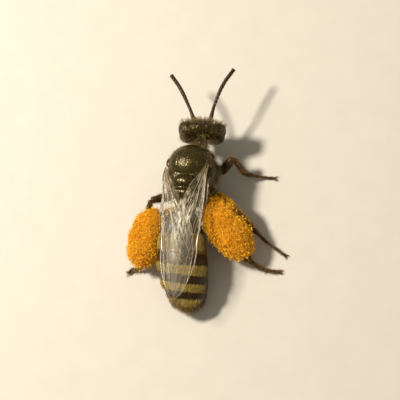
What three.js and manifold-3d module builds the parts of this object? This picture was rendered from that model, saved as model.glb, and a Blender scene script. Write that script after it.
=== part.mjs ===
// A furrow bee, life size, standing with folded wings and full pollen loads.
// Units are millimetres; +Z is up, +Y points ahead of the bee, and the floor is z = 0.
import * as THREE from 'three';
import { mergeVertices } from 'three/addons/utils/BufferGeometryUtils.js';
import Module from 'manifold-3d';

const wasm = await Module();
wasm.setup();

// ---------------------------------------------------------------- driving dimensions
const GAP = 0.03; // clearance between neighbouring plates
const LIMB = 0.25; // least radius of legs and feelers
const WING_THICKNESS = 0.45;

const THORAX_CENTRE = [-0.05, 0, 2.1];
const THORAX_YAW = -7; // degrees, head end turned to the right
const THORAX_PITCH = -8; // degrees, head end lowered

const HEAD_CENTRE = [0.35, 2.34, 1.98];
const HEAD_YAW = 0;
const HEAD_PITCH = -2;
const HEAD_ROLL = 20; // degrees, crown leant to the right
const HEAD_HALF = [1.13, 0.49, 0.98];
const EYE_CENTRE = [0.88, 0.03, 0.04];
const EYE_HALF = [0.33, 0.4, 0.7];
const EYE_LEAN = 7; // degrees, eyes closer together at the mouth

const ABDOMEN_LENGTHS = [1.98, 1.04, 0.9, 0.78, 0.33, 0.25]; // along the back, first ring to last
const ABDOMEN_HALF_WIDTHS = [0.42, 1.29, 1.32, 1.2, 0.96, 0.74, 0.6]; // at the ring edges
const ABDOMEN_HEIGHT_RATIO = 0.68;
const ABDOMEN_SKEW = -9; // degrees, ring edges further back on the right

const FOREWING_WIDTH = 1.85;
const HINDWING_WIDTH = 1.15;
const FOREWING_SEAM = [[-0.33, -1.7], [-0.47, -6.66]]; // where the forewings meet on the back, front and rear

const COXA_RADIUS = 0.34;

const COLOURS = {
  shell: 0x2f2d1c, rings: 0x2b2118, eyes: 0x1c130d, limbs: 0x33201a,
  wings: 0x9a8c80, tegula: 0x4a3320, pollen: 0xd88a14, mouth: 0x3a2416,
};

// ---------------------------------------------------------------- helpers
const radians = THREE.MathUtils.degToRad;
const point = (p) => new THREE.Vector3(...p);

function closedGeometry(geometry) {
  const bare = new THREE.BufferGeometry();
  bare.setAttribute('position', geometry.getAttribute('position').clone());
  if (geometry.index) bare.setIndex(geometry.index.clone());
  const merged = mergeVertices(bare, 1e-4);
  const corners = merged.index.array;
  const kept = [];
  for (let i = 0; i < corners.length; i += 3) {
    const [a, b, c] = [corners[i], corners[i + 1], corners[i + 2]];
    if (a !== b && b !== c && c !== a) kept.push(a, b, c);
  }
  merged.setIndex(kept);
  return merged;
}

function solidOf(geometry) {
  const closed = closedGeometry(geometry);
  const solid = new wasm.Manifold(new wasm.Mesh({
    numProp: 3,
    vertProperties: new Float32Array(closed.getAttribute('position').array),
    triVerts: new Uint32Array(closed.index.array),
  }));
  return solid;
}

function geometryOf(solid) {
  const mesh = solid.getMesh();
  const geometry = new THREE.BufferGeometry();
  geometry.setAttribute('position', new THREE.BufferAttribute(new Float32Array(mesh.vertProperties), 3));
  geometry.setIndex(new THREE.BufferAttribute(new Uint32Array(mesh.triVerts), 1));
  geometry.computeVertexNormals();
  return geometry;
}

// Keeps a solid's largest body, where a cut leaves crumbs.
function largest(solid) {
  const bodies = solid.decompose();
  return bodies.reduce((best, body) => (body.volume() > best.volume() ? body : best), bodies[0]);
}

const joined = (solids) => solids.reduce((sum, solid) => sum.add(solid));
const without = (solid, others) => largest(others.reduce((rest, other) => rest.subtract(other), solid));

// An oval ball; power above 2 makes it boxier.
function ball(centre, half, { turn = [0, 0, 0], power = 2, grow = 0, sides = 18, rings = 10 } = {}) {
  const geometry = new THREE.SphereGeometry(1, sides, rings);
  const vertex = new THREE.Vector3();
  const position = geometry.getAttribute('position');
  for (let i = 0; i < position.count; i += 1) {
    vertex.fromBufferAttribute(position, i);
    const stretch = (Math.abs(vertex.x) ** power + Math.abs(vertex.y) ** power
      + Math.abs(vertex.z) ** power) ** (-1 / power);
    vertex.multiplyScalar(stretch);
    position.setXYZ(i, vertex.x * (half[0] + grow), vertex.y * (half[1] + grow), vertex.z * (half[2] + grow));
  }
  geometry.applyQuaternion(new THREE.Quaternion().setFromEuler(new THREE.Euler(...turn.map(radians), 'ZYX')));
  geometry.translate(...centre);
  return solidOf(geometry);
}

// A turned form laid along a curve. radiusAt gives the half width at 0..1 along the curve,
// flat is height over width, and lean shifts ring edges along the curve from side to side.
function turned(curve, radiusAt, {
  sides = 8, stations = LONG, flat = 1, belly = 1, lean = 0,
  grow = 0, up = [0, 0, 1],
} = {}) {
  const profile = stations.map((t, i) => {
    const end = i === 0 || i === stations.length - 1;
    return new THREE.Vector2(end ? 0 : radiusAt(t) + grow, t);
  });
  const geometry = new THREE.LatheGeometry(profile, sides);
  const position = geometry.getAttribute('position');
  const upright = point(up);
  for (let i = 0; i < position.count; i += 1) {
    const [across, t, high] = [position.getX(i), position.getY(i), position.getZ(i)];
    const ahead = curve.getTangent(t);
    const side = new THREE.Vector3().crossVectors(ahead, upright).normalize();
    const top = new THREE.Vector3().crossVectors(side, ahead);
    const place = curve.getPoint(t)
      .addScaledVector(side, across)
      .addScaledVector(top, high * flat * (high < 0 ? belly : 1))
      .addScaledVector(ahead, across * lean + grow * (2 * t - 1));
    position.setXYZ(i, place.x, place.y, place.z);
  }
  return solidOf(geometry);
}

// Where the rings of a turned form lie along its curve.
const LONG = [0, 0.04, 0.14, 0.5, 0.87, 1];
const SHORT = [0, 0.1, 0.5, 0.9, 1];
const CURVED = [0, 0.03, 0.1, 0.4, 0.65, 0.93, 1];

const line = (a, b) => new THREE.LineCurve3(point(a), point(b));
const curveThrough = (points) => new THREE.CatmullRomCurve3(points.map(point));

// Half width of a limb piece: start and end radius, a belly between, and rounded ends.
function limbRadius(start, end, swell = 0, cap = 0.12) {
  return (t) => {
    const edge = Math.min(t, 1 - t);
    const round = edge < cap ? Math.sqrt(1 - ((cap - edge) / cap) ** 2) : 1;
    return round * (THREE.MathUtils.lerp(start, end, t) + swell * Math.sin(Math.PI * t));
  };
}

// Turns points and solids from a body part's own frame into the bee's frame.
function frameAt(centre, yaw, pitch, roll = 0) {
  const matrix = new THREE.Matrix4().makeRotationFromEuler(
    new THREE.Euler(radians(pitch), radians(roll), radians(yaw), 'ZYX'));
  matrix.setPosition(...centre);
  return {
    place: (p) => point(p).applyMatrix4(matrix).toArray(),
    turn: (solid) => solid.transform(matrix.toArray()),
  };
}

// ---------------------------------------------------------------- thorax
const thorax = frameAt(THORAX_CENTRE, THORAX_YAW, THORAX_PITCH);

function thoraxPlate(centre, half, options) {
  return (grow) => thorax.turn(ball(centre, half, { ...options, grow }));
}

const scutumDome = thoraxPlate([0, 0.42, 0.36], [1.1, 0.98, 0.77], { sides: 18, rings: 10 });
const pleura = thoraxPlate([0, 0.12, -0.12], [1.32, 1.18, 0.95], { power: 2.5, sides: 16, rings: 8 });
const collarBall = thoraxPlate([0, 1.12, -0.1], [0.92, 0.44, 0.74], { power: 2.3, sides: 14, rings: 8 });
const propodeumBall = thoraxPlate([0, -0.98, -0.1], [1.02, 0.64, 0.78], { power: 2.3, sides: 14, rings: 8 });
const scutellumBall = thoraxPlate([0, -0.62, 0.6], [0.66, 0.36, 0.3], { sides: 12, rings: 6 });
const metanotumBall = thoraxPlate([0, -0.98, 0.4], [0.72, 0.2, 0.34], { sides: 12, rings: 6 });
const tegulaBall = (side) => thoraxPlate([side * 1.12, 0.48, 0.48], [0.22, 0.28, 0.15],
  { sides: 10, rings: 6 });

// The thorax is modelled whole and parted by cuts across it.
const COLLAR_CUT = 1.06;
const PROPODEUM_CUT = -0.78;
const SLAB = 6; // a cutting block larger than the thorax
const slab = (from, to) => thorax.turn(
  solidOf(new THREE.BoxGeometry(SLAB, to - from, SLAB).translate(0, (from + to) / 2, 0)));
const thoraxWhole = (grow) => joined([scutumDome, pleura, collarBall, propodeumBall].map((make) => make(grow)));
const pockets = [scutellumBall(GAP), metanotumBall(GAP), tegulaBall(-1)(GAP), tegulaBall(1)(GAP)];
const thoraxShell = without(thoraxWhole(0), pockets);
const pronotum = without(thoraxShell, [slab(-SLAB, COLLAR_CUT + GAP)]);
const mesothorax = without(thoraxShell, [slab(COLLAR_CUT, SLAB), slab(-SLAB, PROPODEUM_CUT)]);
const propodeum = without(thoraxShell, [slab(PROPODEUM_CUT - GAP, SLAB)]);
const scutellum = scutellumBall(0);
const metanotum = without(metanotumBall(0), [scutellumBall(GAP)]);
const tegulaeGrown = [tegulaBall(-1)(GAP), tegulaBall(1)(GAP)];
const thoraxGrown = joined([thoraxWhole(GAP), scutellumBall(GAP), metanotumBall(GAP)]);

// ---------------------------------------------------------------- head
const head = frameAt(HEAD_CENTRE, HEAD_YAW, HEAD_PITCH, HEAD_ROLL);

const headBall = (grow) => head.turn(ball([0, 0, 0], HEAD_HALF, { power: 2.4, grow, sides: 16, rings: 10 }));
const eyeBall = (side, grow) => head.turn(ball([side * EYE_CENTRE[0], EYE_CENTRE[1], EYE_CENTRE[2]], EYE_HALF,
  { turn: [0, side * EYE_LEAN, side * -8], grow, sides: 10, rings: 8 }));
const clypeusBall = (grow) => head.turn(ball([0, 0.28, -0.62], [0.46, 0.26, 0.36],
  { grow, sides: 10, rings: 6 }));
const mandible = (side) => {
  const path = [[0.5, 0.04, -0.78], [0.42, 0.32, -0.98], [0.1, 0.48, -1.06]];
  const curve = curveThrough(path.map(([x, y, z]) => head.place([side * x, y, z])));
  return turned(curve, limbRadius(0.16, 0.07, 0.02, 0.2), { sides: 6, stations: SHORT, flat: 0.8 });
};
const headWhole = (grow) => joined([headBall(grow), eyeBall(-1, grow), eyeBall(1, grow), clypeusBall(grow)]);
const headShell = without(headBall(0), [eyeBall(-1, GAP), eyeBall(1, GAP), clypeusBall(GAP)]);
const mouthparts = without(
  turned(curveThrough([[0, 0.04, -0.85], [0, 0.06, -1.15], [0, -0.16, -1.32]].map(head.place)),
    limbRadius(0.2, 0.12, 0.02, 0.2), { sides: 6, stations: SHORT, up: [0, 1, 0] }),
  [headWhole(GAP)]);
const neck = without(
  turned(line(head.place([0, -0.3, 0.05]), thorax.place([0, 1.3, -0.05])), limbRadius(0.3, 0.34),
    { sides: 8, stations: SHORT }),
  [headWhole(GAP), thoraxGrown]);

// ---------------------------------------------------------------- feelers
const FEELERS = {
  left: { elbow: [-0.25, 3.55, 2.3], tip: [-1.36, 5.48, 2.3], bow: [0.06, 0.08, 0.1] },
  right: { elbow: [1.02, 3.58, 2.3], tip: [2.0, 5.53, 2.3], bow: [-0.08, 0.04, 0.1] },
};

function feeler(name) {
  const { elbow, tip, bow } = FEELERS[name];
  const side = name === 'left' ? -1 : 1;
  const socket = head.place([side * 0.3, 0.3, 0]);
  const middle = elbow.map((value, i) => (value + tip[i]) / 2 + bow[i]);
  const radius = limbRadius(LIMB, LIMB, 0, 0.08);
  const flagellum = (grow) => turned(curveThrough([elbow, middle, tip]), radius, { stations: CURVED, grow });
  const scape = without(turned(line(socket, elbow), radius), [headWhole(GAP), flagellum(GAP)]);
  return { scape, flagellum: flagellum(0) };
}
const feelers = { left: feeler('left'), right: feeler('right') };

// ---------------------------------------------------------------- abdomen
const ABDOMEN_LINE = curveThrough([
  [-0.24, -1.62, 1.82], [-0.4, -2.3, 1.72], [-0.55, -3.3, 1.58], [-0.52, -4.4, 1.4],
  [-0.45, -5.3, 1.12], [-0.36, -6.0, 0.85], [-0.25, -6.62, 0.5],
]);
const abdomenTotal = ABDOMEN_LENGTHS.reduce((sum, length) => sum + length);
const ringEdges = ABDOMEN_LENGTHS.reduce(
  (edges, length) => [...edges, edges.at(-1) + length / abdomenTotal], [0]);
const widthCurve = new THREE.SplineCurve(
  ringEdges.map((edge, i) => new THREE.Vector2(edge, ABDOMEN_HALF_WIDTHS[i])));

function abdomenHalfWidth(t) {
  const ring = Math.min(ringEdges.filter((edge) => edge <= t).length - 1, ringEdges.length - 2);
  const share = (t - ringEdges[ring]) / (ringEdges[ring + 1] - ringEdges[ring]);
  if (ring > 0) return widthCurve.getPoint((ring + share) / (ringEdges.length - 1)).y;
  const [front, rear] = ABDOMEN_HALF_WIDTHS;
  return front + (rear - front) * Math.sin(share * Math.PI / 2) ** 0.8;
}

// One ring: tucked in at the front, full at its rear edge, like stacked cups.
function abdomenRing(index, grow = 0) {
  const total = ABDOMEN_LINE.getLength();
  const start = ringEdges[index] + (index === 0 ? 0 : GAP / total) - grow / total;
  const end = ringEdges[index + 1] + grow / total;
  const last = index === ABDOMEN_LENGTHS.length - 1;
  const inset = (share) => 0.07 * (1 - share) ** 2;
  const shares = last ? [0, 0.001, 0.35, 0.65, 0.88, 1] : [0, 0.001, 0.3, 0.65, 0.999, 1];
  const along = (t) => THREE.MathUtils.clamp(THREE.MathUtils.lerp(start, end, t), 0, 1);
  const section = {
    getPoint: (t) => ABDOMEN_LINE.getPointAt(along(t)),
    getTangent: (t) => ABDOMEN_LINE.getTangentAt(along(t)),
  };
  const radius = (t) => {
    const width = abdomenHalfWidth(along(t));
    const tip = last ? Math.sqrt(Math.max(1 - t ** 2.2, 0.02)) : 1;
    return Math.max(width * tip - (index === 0 ? 0 : inset(t)), 0.1) + grow;
  };
  return turned(section, radius, {
    sides: 18, stations: shares, flat: ABDOMEN_HEIGHT_RATIO, belly: 0.92,
    lean: Math.tan(radians(ABDOMEN_SKEW)),
  });
}
const abdomenRings = ABDOMEN_LENGTHS.map((_, index) => abdomenRing(index));
const abdomenGrown = joined(ABDOMEN_LENGTHS.map((_, index) => abdomenRing(index, 2 * GAP)));
const waist = without(
  turned(line(thorax.place([0, -1.4, -0.25]), [-0.3, -1.95, 1.78]), limbRadius(0.3, 0.3),
    { sides: 8, stations: SHORT }),
  [thoraxGrown, abdomenGrown]);

// ---------------------------------------------------------------- wings
// A wing's outline: hinge at the origin, length along -Y, leading edge on the +X side.
function wingOutline(length, width, edge) {
  const shape = new THREE.Shape();
  shape.moveTo(0, 0);
  shape.splineThru(edge.map(([across, along]) => new THREE.Vector2(across * width, -along * length)));
  shape.closePath();
  return shape;
}

const FOREWING_EDGE = [
  [0.04, 0.14], [0.03, 0.42], [0.035, 0.72], [-0.12, 0.885], [-0.38, 1.0], [-0.72, 0.9],
  [-0.89, 0.68], [-0.8, 0.44], [-0.48, 0.24], [-0.2, 0.09],
];
const HINDWING_EDGE = [
  [0.1, 0.2], [0.08, 0.6], [-0.12, 0.92], [-0.4, 1.0], [-0.78, 0.86], [-0.9, 0.55], [-0.6, 0.2], [-0.3, 0.02],
];

// Lays a wing slab from its hinge towards its tip. outward points from the hinge to the leading
// edge's side, and the slab lies on the plane of the two.
function wing({ side, hinge, tip, outward, width, edge }, grow = 0) {
  const back = point(hinge).sub(point(tip));
  const length = back.length();
  const yAxis = back.normalize();
  const zAxis = new THREE.Vector3().crossVectors(point(outward), yAxis).normalize();
  const xAxis = new THREE.Vector3().crossVectors(yAxis, zAxis);
  const geometry = new THREE.ExtrudeGeometry(wingOutline(length, width, edge), {
    depth: WING_THICKNESS + 2 * grow, bevelEnabled: false, curveSegments: 2,
  });
  geometry.translate(0, 0, side > 0 ? -grow : -WING_THICKNESS - grow);
  geometry.applyMatrix4(new THREE.Matrix4().makeBasis(xAxis, yAxis, zAxis).setPosition(...hinge));
  return solidOf(geometry);
}

// Both forewings are alike, and the hindwings lie under them.
const FOREWING = { width: FOREWING_WIDTH, edge: FOREWING_EDGE };
const HINDWING = { width: HINDWING_WIDTH, edge: HINDWING_EDGE };
const WINGS = {
  forewing_left: {
    ...FOREWING, side: -1, hinge: [-1.27, 0.51, 2.5], tip: [-1.36, -6.62, 2.2], outward: [-1, 0, -0.03],
  },
  forewing_right: {
    ...FOREWING, side: 1, hinge: [1.02, 0.46, 2.5], tip: [0.34, -6.62, 2.2], outward: [1, 0, -0.03],
  },
  hindwing_left: {
    ...HINDWING, side: -1, hinge: [-1.2, -0.1, 2.05], tip: [-1.15, -4.5, 1.8], outward: [-1, 0, -0.6],
  },
  hindwing_right: {
    ...HINDWING, side: 1, hinge: [0.95, -0.1, 2.05], tip: [0.5, -4.5, 1.8], outward: [1, 0, -0.6],
  },
};

// Folded forewings lie over each other and are thin. Slabs would stand twice too high that way, so
// they lie level and meet along the seam.
function forewing(name) {
  const slab = wing(WINGS[name]);
  const [front, rear] = FOREWING_SEAM.map((p) => new THREE.Vector2(...p));
  const across = front.clone().sub(rear).normalize().rotateAround(new THREE.Vector2(), -Math.PI / 2)
    .multiplyScalar(WINGS[name].side);
  const ownSide = slab.trimByPlane([across.x, across.y, 0], front.dot(across) + GAP / 2);
  return without(ownSide, [thoraxGrown, abdomenGrown, ...tegulaeGrown]);
}

const forewingsGrown = [wing(WINGS.forewing_left, GAP), wing(WINGS.forewing_right, GAP)];
const underForewings = [...forewingsGrown, thoraxGrown, abdomenGrown];
const hindwings = {
  left: without(wing(WINGS.hindwing_left), underForewings),
  right: without(wing(WINGS.hindwing_right), underForewings),
};

// ---------------------------------------------------------------- legs and pollen
// hip, knee, ankle, then the foot's middle and tip; each a point on the limb's centre line.
const FOOT_HEIGHT = 0.17; // the foot's centre line above the floor; its underside is a flat at 0
const LEGS = {
  fore_left: {
    hip: [-0.62, 0.85, 1.1], joint: [-0.8, 0.75, 0.95], knee: [-1.15, 0.9, 1.25], ankle: [-1.05, 1.7, 0.6],
    foot: [[-0.95, 2.2, 0.25], [-0.75, 2.85, FOOT_HEIGHT]], slender: 0.9,
  },
  fore_right: {
    hip: [0.62, 0.75, 1.1], joint: [1.1, 0.48, 1.02], knee: [1.9, 1.02, 1.55], ankle: [2.31, 0.46, 0.65],
    foot: [[2.9, 0.42, 0.27], [3.67, 0.34, FOOT_HEIGHT]], slender: 0.9,
  },
  mid_left: {
    hip: [-0.68, -0.35, 1.05], joint: [-1.1, -0.5, 0.95], knee: [-2.37, -0.95, 1.55], ankle: [-2.9, -1.7, 0.6],
    foot: [[-3.2, -2.3, 0.2], [-3.35, -3.1, FOOT_HEIGHT]], slender: 1,
  },
  mid_right: {
    hip: [0.6, -0.45, 1.05], joint: [1.0, -0.75, 1.05], knee: [2.11, -1.62, 1.6], ankle: [2.82, -2.48, 0.75],
    foot: [[3.5, -3.15, 0.32], [4.39, -3.79, FOOT_HEIGHT]], slender: 1,
  },
  hind_left: {
    hip: [-0.7, -1.05, 1.1], joint: [-1.05, -1.35, 1.05], knee: [-2.15, -2.1, 1.6], ankle: [-2.8, -3.87, 0.6],
    foot: [[-3.25, -4.15, 0.26], [-3.95, -4.05, FOOT_HEIGHT]], slender: 1.05,
  },
  hind_right: {
    hip: [0.4, -1.15, 1.1], joint: [0.62, -1.5, 1.1], knee: [1.7, -2.62, 1.5], ankle: [2.68, -4.15, 0.6],
    foot: [[3.3, -4.5, 0.27], [4.14, -4.62, FOOT_HEIGHT]], slender: 1.05,
  },
};
const floorCut = solidOf(new THREE.BoxGeometry(40, 40, 10).translate(0, 0, -5));

function leg(name) {
  const { hip, joint, knee, ankle, foot, slender } = LEGS[name];
  const shape = {
    coxa: (grow) => turned(line(hip, joint), limbRadius(COXA_RADIUS, 0.27, 0, 0.3), { stations: SHORT, grow }),
    femur: (grow) => turned(line(joint, knee), limbRadius(LIMB, LIMB, 0.05 * slender), { grow }),
    tibia: (grow) => turned(line(knee, ankle), limbRadius(LIMB, 0.27 * slender, 0.02), { grow }),
    tarsus: (grow) => turned(curveThrough([ankle, ...foot]), limbRadius(LIMB, LIMB, 0, 0.1),
      { stations: CURVED, grow }),
  };
  const whole = joined(Object.values(shape).map((make) => make(GAP)));
  return {
    whole,
    pieces: {
      coxa: without(shape.coxa(0), [thoraxGrown, shape.femur(GAP)]),
      femur: without(shape.femur(0), [thoraxGrown]),
      tibia: without(shape.tibia(0), [shape.femur(GAP)]),
      tarsus: without(shape.tarsus(0), [shape.tibia(GAP), floorCut]),
    },
  };
}
const legs = Object.fromEntries(Object.keys(LEGS).map((name) => [name, leg(name)]));

// A pollen load: an egg of packed grains round the hind leg, with a low lumpy surface.
const POLLEN = {
  left: { centre: [-2.52, -2.85, 1.22], half: [0.92, 1.48, 0.78], turn: [14, 0, -20] },
  right: { centre: [1.68, -2.62, 1.2], half: [0.92, 1.8, 0.78], turn: [11, 0, 33] },
};
const LUMP_HEIGHT = 0.045;

function pollenLoad(name) {
  const { centre, half, turn } = POLLEN[name];
  const geometry = new THREE.SphereGeometry(1, 12, 8);
  const position = geometry.getAttribute('position');
  for (let i = 0; i < position.count; i += 1) {
    const [x, y, z] = [position.getX(i), position.getY(i), position.getZ(i)];
    const lump = 1 + LUMP_HEIGHT * Math.sin(7 * x + 2 * z) * Math.cos(6 * y - 3 * z);
    position.setXYZ(i, x * half[0] * lump, y * half[1] * lump, z * half[2] * lump);
  }
  geometry.applyQuaternion(new THREE.Quaternion().setFromEuler(new THREE.Euler(...turn.map(radians), 'ZYX')));
  geometry.translate(...centre);
  const neighbours = Object.entries(legs).filter(([leg]) => leg.endsWith(name)).map(([, { whole }]) => whole);
  return without(solidOf(geometry), [...neighbours, thoraxGrown, abdomenGrown, ...Object.values(WINGS)
    .map((dims) => wing(dims, GAP))]);
}

// ---------------------------------------------------------------- the bee
const bee = new THREE.Group();

function add(name, solid, colour, roughness = 0.5) {
  const material = new THREE.MeshStandardMaterial({ color: colour, roughness, metalness: 0 });
  const mesh = new THREE.Mesh(geometryOf(solid), material);
  mesh.name = name;
  bee.add(mesh);
}

add('head', headShell, COLOURS.shell);
add('clypeus', clypeusBall(0), COLOURS.shell);
add('mouthparts', mouthparts, COLOURS.mouth);
add('neck', neck, COLOURS.mouth, 0.7);
add('scutum', mesothorax, COLOURS.shell);
add('scutellum', scutellum, COLOURS.shell);
add('metanotum', metanotum, COLOURS.shell);
add('pronotum', pronotum, COLOURS.shell);
add('propodeum', propodeum, COLOURS.shell);
add('waist', waist, COLOURS.rings);
abdomenRings.forEach((ring, index) => add(`abdomen_${index + 1}`, ring, COLOURS.rings, 0.4));
for (const [name, side] of [['left', -1], ['right', 1]]) {
  add(`eye_${name}`, eyeBall(side, 0), COLOURS.eyes, 0.25);
  add(`mandible_${name}`, without(mandible(side), [headWhole(GAP)]), COLOURS.mouth, 0.4);
  add(`scape_${name}`, feelers[name].scape, COLOURS.limbs);
  add(`flagellum_${name}`, feelers[name].flagellum, COLOURS.limbs);
  add(`tegula_${name}`, tegulaBall(side)(0), COLOURS.tegula, 0.3);
  add(`hindwing_${name}`, hindwings[name], COLOURS.wings, 0.3);
  add(`pollen_${name}`, pollenLoad(name), COLOURS.pollen, 0.9);
}
add('forewing_left', forewing('forewing_left'), COLOURS.wings, 0.3);
add('forewing_right', forewing('forewing_right'), COLOURS.wings, 0.3);
for (const [name, { pieces }] of Object.entries(legs)) {
  for (const [piece, solid] of Object.entries(pieces)) add(`${piece}_${name}`, solid, COLOURS.limbs);
}

const box = new THREE.Box3().setFromObject(bee);
bee.position.set(-(box.min.x + box.max.x) / 2, -(box.min.y + box.max.y) / 2, 0);

export default bee;
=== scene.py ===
"""A furrow bee, life size, standing with folded wings and full pollen loads.

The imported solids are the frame. Every piece is shaped in millimetres round them and
turned into metres once, when its mesh is made.
"""
import math

import bmesh
import bpy
import numpy as np
from mathutils import Matrix, Vector
from mathutils.bvhtree import BVHTree


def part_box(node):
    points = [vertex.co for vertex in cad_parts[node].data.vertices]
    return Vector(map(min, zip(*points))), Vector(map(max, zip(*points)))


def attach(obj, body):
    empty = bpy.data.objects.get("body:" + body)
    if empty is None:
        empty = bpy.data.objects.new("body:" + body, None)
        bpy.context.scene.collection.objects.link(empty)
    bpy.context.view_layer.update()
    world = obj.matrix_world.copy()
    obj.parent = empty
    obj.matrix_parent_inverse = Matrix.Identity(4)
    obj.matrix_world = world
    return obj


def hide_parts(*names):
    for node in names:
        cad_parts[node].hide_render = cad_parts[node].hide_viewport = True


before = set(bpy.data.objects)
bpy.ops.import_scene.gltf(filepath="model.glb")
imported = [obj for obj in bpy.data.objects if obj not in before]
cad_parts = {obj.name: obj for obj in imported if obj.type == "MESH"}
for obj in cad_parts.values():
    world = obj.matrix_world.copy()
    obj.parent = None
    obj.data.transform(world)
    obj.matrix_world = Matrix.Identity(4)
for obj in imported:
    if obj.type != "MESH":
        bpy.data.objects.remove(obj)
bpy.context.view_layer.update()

MM = 0.001  # one millimetre in metres
UP = np.array([0.0, 0.0, 1.0])
SIDES = {"left": -1, "right": 1}
LEG_PAIRS = ("fore", "mid", "hind")


# ---------------------------------------------------------------- measuring the frame
def triangles_of(node):
    """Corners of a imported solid's faces, in millimetres."""
    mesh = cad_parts[node].data
    corners = np.empty(len(mesh.loops), np.int32)
    mesh.loops.foreach_get("vertex_index", corners)
    places = np.empty(len(mesh.vertices) * 3, np.float32)
    mesh.vertices.foreach_get("co", places)
    return places.reshape(-1, 3).astype(float)[corners].reshape(-1, 3, 3) / MM


def box_of(node):
    low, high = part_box(node)
    return np.array(low) / MM, np.array(high) / MM


def middle_of(node):
    low, high = box_of(node)
    return (low + high) / 2


def cut_through(nodes, origin, normal):
    """Where the plane through origin meets the nodes' faces."""
    found = []
    for node in nodes:
        corners = triangles_of(node)
        height = (corners - origin) @ normal
        for a, b in ((0, 1), (1, 2), (2, 0)):
            crossing = height[:, a] * height[:, b] < 0
            share = height[crossing, a] / (height[crossing, a] - height[crossing, b])
            edge = corners[crossing, b] - corners[crossing, a]
            found.append(corners[crossing, a] + share[:, None] * edge)
    return np.vstack(found)


def spine_of(node, near, count=5):
    """Centre line of a long solid, starting at its end nearest to a point."""
    cloud = triangles_of(node).reshape(-1, 3)
    middle = cloud.mean(0)
    axis = np.linalg.svd(cloud - middle, full_matrices=False)[2][0]
    if (near - middle) @ axis > 0:
        axis = -axis
    along = (cloud - middle) @ axis
    inner = []
    for mark in np.linspace(along.min(), along.max(), count)[1:-1]:
        section = cut_through([node], middle + mark * axis, axis)
        inner.append((section.min(0) + section.max(0)) / 2)
    return np.array([cloud[along.argmin()], *inner, cloud[along.argmax()]])


class BodyFrame:
    """A body part's own axes: x to the bee's right, y ahead and z up."""

    def __init__(self, known):
        """known: where some nodes' middles lie in the part's own axes."""
        own = np.array(list(known.values()), float)
        seen = np.array([middle_of(node) for node in known])
        spread = (own - own.mean(0)).T @ (seen - seen.mean(0))
        left, _, right = np.linalg.svd(spread)
        flip = np.diag([1, 1, np.sign(np.linalg.det(left @ right))])
        self.axes = left @ flip @ right
        self.origin = seen.mean(0) - own.mean(0) @ self.axes

    def place(self, points):
        return np.asarray(points, float) @ self.axes + self.origin

    def own(self, points):
        return (np.asarray(points, float) - self.origin) @ self.axes.T

    def ball(self, centre, half, **form):
        """An oval ball, given in the part's own axes."""
        points, faces = ball(centre, half, **form)
        return self.place(points), faces


# ---------------------------------------------------------------- shapes: (points, faces)
def unit(vectors):
    vectors = np.asarray(vectors, float)
    return vectors / np.maximum(np.linalg.norm(vectors, axis=-1, keepdims=True), 1e-12)


def lofted(rings, ends=None):
    """A closed skin over rings of points, with a fan at each end."""
    rings = np.asarray(rings)
    count, sides = rings.shape[:2]
    ends = ends if ends is not None else (rings[0].mean(0), rings[-1].mean(0))
    step = np.arange(sides)
    after = (step + 1) % sides
    faces = []
    for row in range(count - 1):
        here, there = row * sides, (row + 1) * sides
        faces += np.column_stack([here + step, here + after, there + after, there + step]).tolist()
    front, rear, last = count * sides, count * sides + 1, (count - 1) * sides
    faces += np.column_stack([np.full(sides, front), after, step]).tolist()
    faces += np.column_stack([np.full(sides, rear), last + step, last + after]).tolist()
    return np.vstack([rings.reshape(-1, 3), ends]), faces


def joined(shapes):
    points, faces, start = [], [], 0
    for shape_points, shape_faces in shapes:
        points.append(shape_points)
        faces += [[start + corner for corner in face] for face in shape_faces]
        start += len(shape_points)
    return np.vstack(points), faces


def ball(centre, half, power=2.0, sides=48, rows=30, lean=(0, 0, 0)):
    """An oval ball; power above 2 makes it boxier, and lean turns it about x, y and z."""
    height = np.linspace(-math.pi / 2, math.pi / 2, rows + 2)[1:-1, None]
    turn = np.linspace(0, 2 * math.pi, sides, endpoint=False)[None]
    way = np.stack([np.cos(height) * np.cos(turn), np.cos(height) * np.sin(turn),
                    np.sin(height) + 0 * turn], axis=-1)
    way = np.concatenate([way.reshape(-1, 3), [-UP, UP]])
    way /= (np.abs(way) ** power).sum(1, keepdims=True) ** (1 / power)
    points = way * half
    for axis, degrees in zip("XYZ", lean):
        points = points @ np.array(Matrix.Rotation(math.radians(degrees), 3, axis)).T
    points = points + centre
    return lofted(points[:-2].reshape(rows, sides, 3), (points[-2], points[-1]))


def smooth_line(points, shares):
    """Points on a smooth line through the given ones, at shares 0..1 of its length."""
    points = np.asarray(points, float)
    line = np.vstack([2 * points[0] - points[1], points, 2 * points[-1] - points[-2]])
    where = np.asarray(shares) * (len(points) - 1)
    left = np.clip(where.astype(int), 0, len(points) - 2)
    t = (where - left)[:, None]
    p0, p1, p2, p3 = (line[left + k] for k in range(4))
    return 0.5 * (2 * p1 + (p2 - p0) * t + (2 * p0 - 5 * p1 + 4 * p2 - p3) * t ** 2
                  + (3 * p1 - p0 - 3 * p2 + p3) * t ** 3)


def limb(points, radius_at, sides=16, steps=22, flat=1.0, upright=UP, cap=0.12):
    """A limb along a smooth line, with rounded ends; flat is its height over its width."""
    shares = 0.5 - 0.5 * np.cos(np.linspace(0.05, math.pi - 0.05, steps))
    path = smooth_line(points, shares)
    ahead = unit(np.gradient(path, axis=0))
    side = unit(np.cross(ahead, upright))
    top = np.cross(side, ahead)
    edge = np.minimum(shares, 1 - shares)
    rounding = np.sqrt(1 - (np.clip(cap - edge, 0, cap) / cap) ** 2) if cap else 1
    radius = (np.array([radius_at(share) for share in shares]) * rounding)[:, None, None]
    turn = np.linspace(0, 2 * math.pi, sides, endpoint=False)[None, :, None]
    rings = path[:, None] + radius * (np.cos(turn) * side[:, None] + flat * np.sin(turn) * top[:, None])
    return lofted(rings, smooth_line(points, [0, 1]))


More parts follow.
